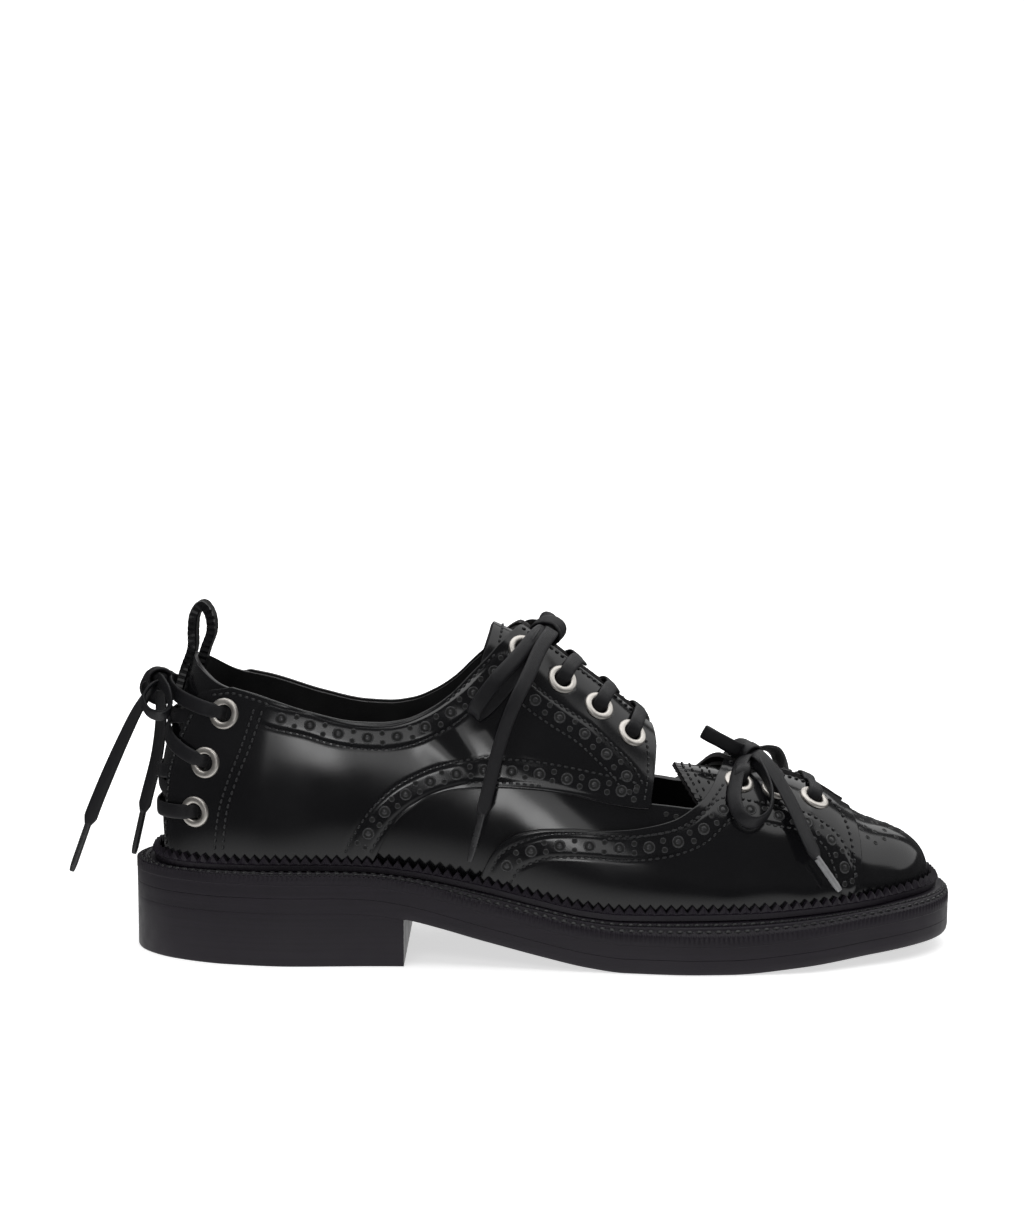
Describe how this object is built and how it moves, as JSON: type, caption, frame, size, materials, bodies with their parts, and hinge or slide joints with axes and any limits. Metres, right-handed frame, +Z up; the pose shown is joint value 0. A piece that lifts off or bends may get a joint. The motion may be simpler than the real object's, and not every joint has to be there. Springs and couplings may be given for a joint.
{
  "type": "brogue shoe",
  "caption": "Black laced brogue shoe for a right foot, with an instep cut-out, wing overlays, saw-toothed rand and stacked heel; it stands empty on its sole and is worn on the foot.",
  "frame": {"origin": "on the floor under the middle of the sole's plan", "axes": "+X towards the toe, +Y towards the medial side, +Z up"},
  "size_m": [0.3023, 0.0921, 0.1185],
  "materials": {
    "sole_leather": "satin edge ink",
    "upper_leather": "polished",
    "lining": "matt",
    "nickel": "brushed",
    "lace": "waxed"
  },
  "bodies": {
    "root": {"eyelet_heel_lateral_1": "nickel", "eyelet_heel_lateral_2": "nickel", "eyelet_heel_lateral_3": "nickel", "eyelet_heel_medial_1": "nickel", "eyelet_heel_medial_2": "nickel", "eyelet_heel_medial_3": "nickel", "eyelet_throat_lateral_1": "nickel", "eyelet_throat_lateral_2": "nickel", "eyelet_throat_lateral_3": "nickel", "eyelet_throat_lateral_4": "nickel", "eyelet_throat_medial_1": "nickel", "eyelet_throat_medial_2": "nickel", "eyelet_throat_medial_3": "nickel", "eyelet_throat_medial_4": "nickel", "eyelet_vamp_lateral_1": "nickel", "eyelet_vamp_lateral_2": "nickel", "eyelet_vamp_lateral_3": "nickel", "eyelet_vamp_medial_1": "nickel", "eyelet_vamp_medial_2": "nickel", "eyelet_vamp_medial_3": "nickel", "heel": "sole_leather", "heel_lace_bar_1": "lace", "heel_lace_bar_2": "lace", "heel_lace_cross_lower": "lace", "heel_lace_cross_upper": "lace", "heel_lace_end_far": "lace", "heel_lace_end_near": "lace", "heel_lace_knot": "lace", "heel_lace_loop_far": "lace", "heel_lace_loop_near": "lace", "insole": "lining", "midsole": "sole_leather", "outsole": "sole_leather", "pull_loop": "upper_leather", "quarter_lateral": "upper_leather", "quarter_medial": "upper_leather", "rand": "sole_leather", "throat_lace_bar_1": "lace", "throat_lace_bar_2": "lace", "throat_lace_bar_3": "lace", "throat_lace_end_far": "lace", "throat_lace_end_near": "lace", "throat_lace_knot": "lace", "throat_lace_loop_far": "lace", "throat_lace_loop_near": "lace", "tongue": "upper_leather", "upper": "upper_leather", "vamp_lace_bar_1": "lace", "vamp_lace_bar_2": "lace", "vamp_lace_end_far": "lace", "vamp_lace_end_near": "lace", "vamp_lace_knot": "lace", "vamp_lace_loop_near": "lace", "vamp_lace_loop_rear": "lace", "vamp_lateral": "upper_leather", "vamp_medial": "upper_leather", "vamp_tongue": "upper_leather", "welt": "sole_leather"}
  },
  "joints": []
}
